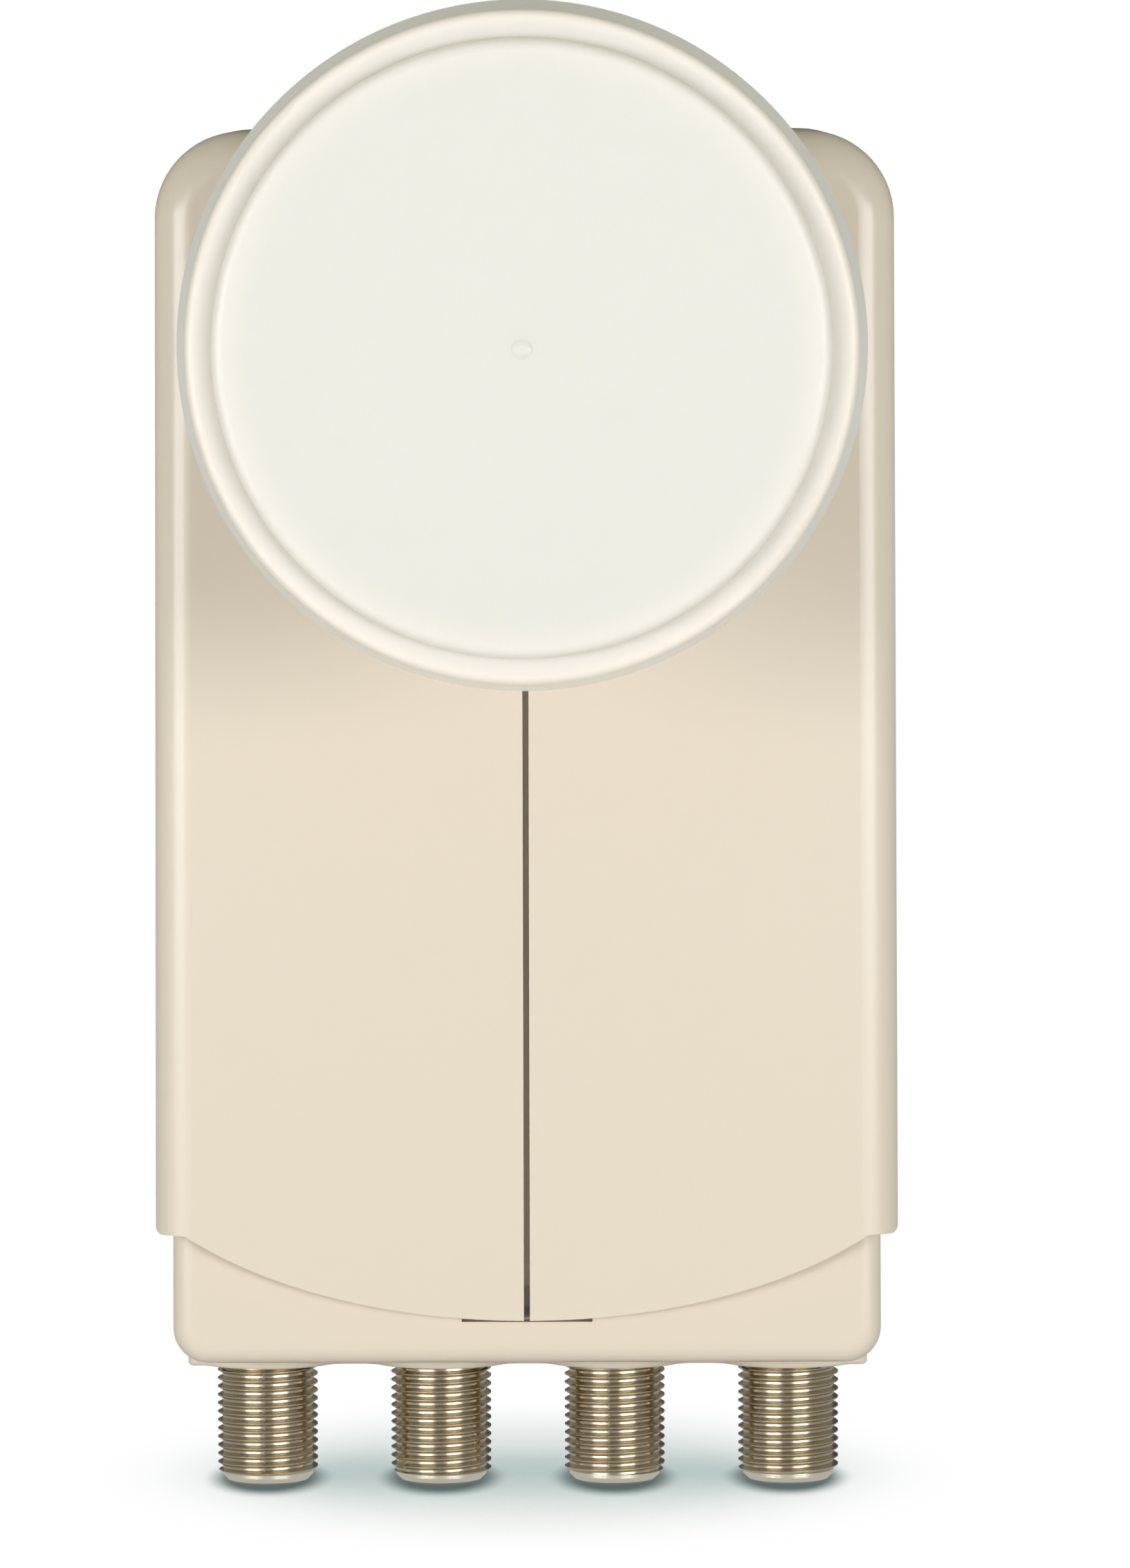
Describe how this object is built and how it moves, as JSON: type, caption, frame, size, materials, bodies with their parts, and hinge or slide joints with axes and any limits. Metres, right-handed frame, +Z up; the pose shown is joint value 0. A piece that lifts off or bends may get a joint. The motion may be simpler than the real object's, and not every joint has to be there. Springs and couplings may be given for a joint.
{
  "type": "satellite lnb",
  "caption": "Satellite low-noise block converter with a round capped feed horn, a clamp neck, a split weather hood and downward threaded F sockets.",
  "frame": {"origin": "on the feed axis, in the middle of the neck's clamp length", "axes": "+Z up, -Y towards the dish along the feed axis, sockets along -Z, +X to the viewer's right"},
  "size_m": [0.0686, 0.088, 0.1382],
  "materials": {
    "hood_plastic": "spark-eroded matt",
    "housing_plastic": "satin",
    "cap_plastic": "matt",
    "cast_aluminium": "as cast",
    "nickel_plate": "nickel plated",
    "screw_steel": "zinc plated",
    "brass": "turned",
    "rubber": "moulded",
    "insulator_plastic": "satin",
    "board_laminate": "lacquered",
    "puck_ceramic": "fired",
    "chip_black": "moulded"
  },
  "bodies": {
    "root": {"hood_left": "hood_plastic", "hood_right": "hood_plastic", "housing": "housing_plastic", "rear_cover": "housing_plastic", "rear_gasket": "rubber", "housing_screws": "screw_steel", "neck_sleeve": "housing_plastic", "neck_seal": "rubber", "feed_horn": "cast_aluminium", "feed_cap": "cap_plastic", "cap_seal": "rubber", "chassis": "cast_aluminium", "chassis_cover": "cast_aluminium", "cover_screws": "screw_steel", "rf_board": "board_laminate", "oscillator_pucks": "puck_ceramic", "tuning_screws": "brass", "switch_chip": "chip_black", "regulators": "chip_black", "port_seals": "rubber", "f_connector_1": "nickel_plate", "f_insulator_1": "insulator_plastic", "f_contact_1": "brass", "f_connector_2": "nickel_plate", "f_insulator_2": "insulator_plastic", "f_contact_2": "brass", "f_connector_3": "nickel_plate", "f_insulator_3": "insulator_plastic", "f_contact_3": "brass", "f_connector_4": "nickel_plate", "f_insulator_4": "insulator_plastic", "f_contact_4": "brass"}
  },
  "joints": []
}
